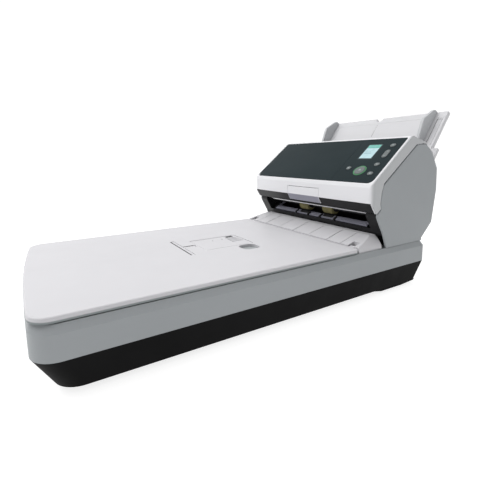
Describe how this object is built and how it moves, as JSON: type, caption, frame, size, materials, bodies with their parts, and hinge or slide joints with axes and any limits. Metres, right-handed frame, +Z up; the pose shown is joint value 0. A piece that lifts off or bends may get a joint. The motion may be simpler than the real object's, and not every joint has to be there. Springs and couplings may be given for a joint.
{
  "type": "sheet fed document scanner",
  "caption": "Document scanner with an automatic sheet feeder, control panel and inclined chute behind a long lidded flatbed.",
  "frame": {"origin": "under the middle of the whole object, on the surface that it stands on", "axes": "+X to the user's right, -Y to the front edge of the flatbed, +Z up"},
  "size_m": [0.3, 0.6262, 0.2809],
  "materials": {
    "tray_black": "fine textured black ABS",
    "case_grey": "fine textured grey ABS",
    "cover_white": "fine textured off-white ABS",
    "lid_white": "fine textured light grey-white ABS",
    "panel_slate": "dark slate, satin gloss",
    "button_slate": "satin dark slate",
    "ring_green": "translucent green light guide",
    "screen": "lit display behind clear cover",
    "bezel_black": "satin black",
    "guide_lilac": "light lavender grey",
    "guide_grey": "satin mid grey",
    "glass": "clear float glass",
    "pad_white": "white foam backed sheet",
    "rubber_black": "matt rubber",
    "rubber_tan": "ochre urethane",
    "steel": "ground steel",
    "zinc": "black coated sheet steel",
    "motor": "plated can",
    "board_green": "solder mask",
    "inner_black": "black moulding",
    "port_black": "black sockets"
  },
  "bodies": {
    "base": {"base_tray": "tray_black", "upper_case": "case_grey", "platen_glass": "glass", "rubber_feet": "rubber_black", "case_screws": "steel", "guide_rod": "steel", "carriage_belt": "rubber_black", "carriage_motor": "motor", "main_board": "board_green", "rear_ports": "port_black", "adf_side_cover_left": "case_grey", "adf_side_cover_right": "case_grey", "adf_rear_cover": "case_grey", "mouth_bezel": "bezel_black", "eject_ramp": "lid_white", "lid_hinge_brackets": "steel", "adf_frames": "zinc", "cover_hinge_pins": "steel", "adf_motor": "motor", "adf_belt": "rubber_black", "lower_scan_unit": "inner_black", "lower_paper_guide": "guide_lilac", "chute_plate": "cover_white", "chute_back": "cover_white"},
    "carriage": {"carriage": "inner_black"},
    "motor_pulley": {"motor_pulley": "inner_black"},
    "idler_pulley": {"idler_pulley": "inner_black"},
    "pick_roller": {"pick_roller": "rubber_black"},
    "feed_roller": {"feed_roller": "rubber_black"},
    "eject_roller": {"eject_roller": "rubber_black"},
    "adf_motor_pulley": {"adf_motor_pulley": "inner_black"},
    "feeder_cover": {"cover_shell": "cover_white", "front_panel": "panel_slate", "control_panel": "panel_slate", "scan_ring": "ring_green", "lcd_screen": "screen", "panel_board": "board_green", "cover_trim": "bezel_black", "cover_inner_guide": "inner_black", "cover_arms": "inner_black", "upper_scan_unit": "inner_black", "eject_rod": "steel"},
    "eject_idler": {"eject_idler_shaft": "inner_black", "eject_idler_rollers": "rubber_tan"},
    "brake_roller": {"brake_roller": "rubber_black"},
    "scan_button": {"scan_button": "button_slate"},
    "stop_button": {"stop_button": "button_slate"},
    "menu_button": {"menu_button": "button_slate"},
    "rocker_button": {"rocker_button": "button_slate"},
    "mode_button": {"mode_button": "button_slate"},
    "power_button": {"power_button": "button_slate"},
    "release_lever": {"release_lever": "cover_white"},
    "document_cover": {"lid_shell": "lid_white", "document_pad": "pad_white"},
    "stacker_plate": {"stacker_plate": "lid_white"},
    "stopper_bar": {"stopper_bar": "lid_white"},
    "guide_left": {"guide_left": "guide_grey"},
    "guide_right": {"guide_right": "guide_grey"},
    "guide_pinion": {"guide_pinion": "inner_black"},
    "chute_extension": {"chute_extension": "cover_white"}
  },
  "joints": [
    {"name": "lid_hinge", "type": "hinge", "parent": "base", "child": "document_cover", "pos_m": [0, 0.09087, 0.074], "axis": [1, 0, 0], "range_deg": [-75, 0]},
    {"name": "feeder_cover_hinge", "type": "hinge", "parent": "base", "child": "feeder_cover", "pos_m": [0, 0.13287, 0.112], "axis": [1, 0, 0], "range_deg": [0, 70]},
    {"name": "release_lever_hinge", "type": "hinge", "parent": "feeder_cover", "child": "release_lever", "pos_m": [0, 0.10572, 0.1507], "axis": [-1, 0, 0], "range_deg": [0, 12], "stiffness_Nm_per_rad": 0.02},
    {"name": "stacker_plate_hinge", "type": "hinge", "parent": "document_cover", "child": "stacker_plate", "pos_m": [0, -0.09393, 0.075], "axis": [1, 0, 0], "range_deg": [0, 95]},
    {"name": "stopper_bar_hinge", "type": "hinge", "parent": "document_cover", "child": "stopper_bar", "pos_m": [0, -0.09973, 0.075], "axis": [1, 0, 0], "range_deg": [-90, 0]},
    {"name": "scan_button_press", "type": "slide", "parent": "feeder_cover", "child": "scan_button", "axis": [0, 0.6266, -0.7793], "range_m": [0, 0.0008], "stiffness_N_per_m": 400},
    {"name": "stop_button_press", "type": "slide", "parent": "feeder_cover", "child": "stop_button", "axis": [0, 0.6266, -0.7793], "range_m": [0, 0.0008], "stiffness_N_per_m": 400},
    {"name": "menu_button_press", "type": "slide", "parent": "feeder_cover", "child": "menu_button", "axis": [0, 0.6266, -0.7793], "range_m": [0, 0.0008], "stiffness_N_per_m": 400},
    {"name": "rocker_button_press", "type": "slide", "parent": "feeder_cover", "child": "rocker_button", "axis": [0, 0.6266, -0.7793], "range_m": [0, 0.0008], "stiffness_N_per_m": 400},
    {"name": "mode_button_press", "type": "slide", "parent": "feeder_cover", "child": "mode_button", "axis": [0, 0.6266, -0.7793], "range_m": [0, 0.0008], "stiffness_N_per_m": 400},
    {"name": "power_button_press", "type": "slide", "parent": "feeder_cover", "child": "power_button", "axis": [0, 0.6266, -0.7793], "range_m": [0, 0.0008], "stiffness_N_per_m": 400},
    {"name": "guide_right_slide", "type": "slide", "parent": "base", "child": "guide_right", "axis": [-1, 0, 0], "range_m": [0, 0.07]},
    {"name": "guide_left_slide", "type": "slide", "parent": "base", "child": "guide_left", "axis": [1, 0, 0], "range_m": [0, 0.07]},
    {"name": "guide_pinion_spin", "type": "hinge", "parent": "base", "child": "guide_pinion", "pos_m": [0, 0.26522, 0.21385], "axis": [0, -0.809, 0.5878], "range_deg": [0, 520]},
    {"name": "chute_extension_slide", "type": "slide", "parent": "base", "child": "chute_extension", "axis": [0, 0.5878, 0.809], "range_m": [0, 0.045]},
    {"name": "carriage_slide", "type": "slide", "parent": "base", "child": "carriage", "axis": [0, -1, 0], "range_m": [0, 0.306]},
    {"name": "motor_pulley_spin", "type": "hinge", "parent": "base", "child": "motor_pulley", "pos_m": [0.015, 0.11187, 0.023], "axis": [0, 0, 1], "range_deg": [0, 2900]},
    {"name": "idler_pulley_spin", "type": "hinge", "parent": "base", "child": "idler_pulley", "pos_m": [0.015, -0.26813, 0.023], "axis": [0, 0, 1], "range_deg": [0, 2900]},
    {"name": "feed_roller_spin", "type": "hinge", "parent": "base", "child": "feed_roller", "pos_m": [0, 0.19942, 0.13098], "axis": [1, 0, 0], "continuous": true},
    {"name": "eject_roller_spin", "type": "hinge", "parent": "base", "child": "eject_roller", "pos_m": [0, 0.14437, 0.0952], "axis": [1, 0, 0], "continuous": true},
    {"name": "adf_motor_pulley_spin", "type": "hinge", "parent": "base", "child": "adf_motor_pulley", "pos_m": [-0.12, 0.21087, 0.092], "axis": [1, 0, 0], "continuous": true},
    {"name": "pick_roller_spin", "type": "hinge", "parent": "base", "child": "pick_roller", "pos_m": [0, 0.24237, 0.1706], "axis": [1, 0, 0], "continuous": true},
    {"name": "eject_idler_spin", "type": "hinge", "parent": "feeder_cover", "child": "eject_idler", "pos_m": [0, 0.14437, 0.115], "axis": [1, 0, 0], "continuous": true},
    {"name": "brake_roller_spin", "type": "hinge", "parent": "feeder_cover", "child": "brake_roller", "pos_m": [0, 0.22827, 0.1843], "axis": [1, 0, 0], "continuous": true}
  ],
  "couplings": [
    {"joint": "guide_left_slide", "follows": "guide_right_slide", "ratio": 1},
    {"joint": "guide_pinion_spin", "follows": "guide_right_slide", "rad_per_m": 111.11},
    {"joint": "motor_pulley_spin", "follows": "carriage_slide", "rad_per_m": 156.25},
    {"joint": "idler_pulley_spin", "follows": "carriage_slide", "rad_per_m": 156.25},
    {"joint": "eject_roller_spin", "follows": "feed_roller_spin", "ratio": 1},
    {"joint": "adf_motor_pulley_spin", "follows": "feed_roller_spin", "ratio": 1}
  ]
}
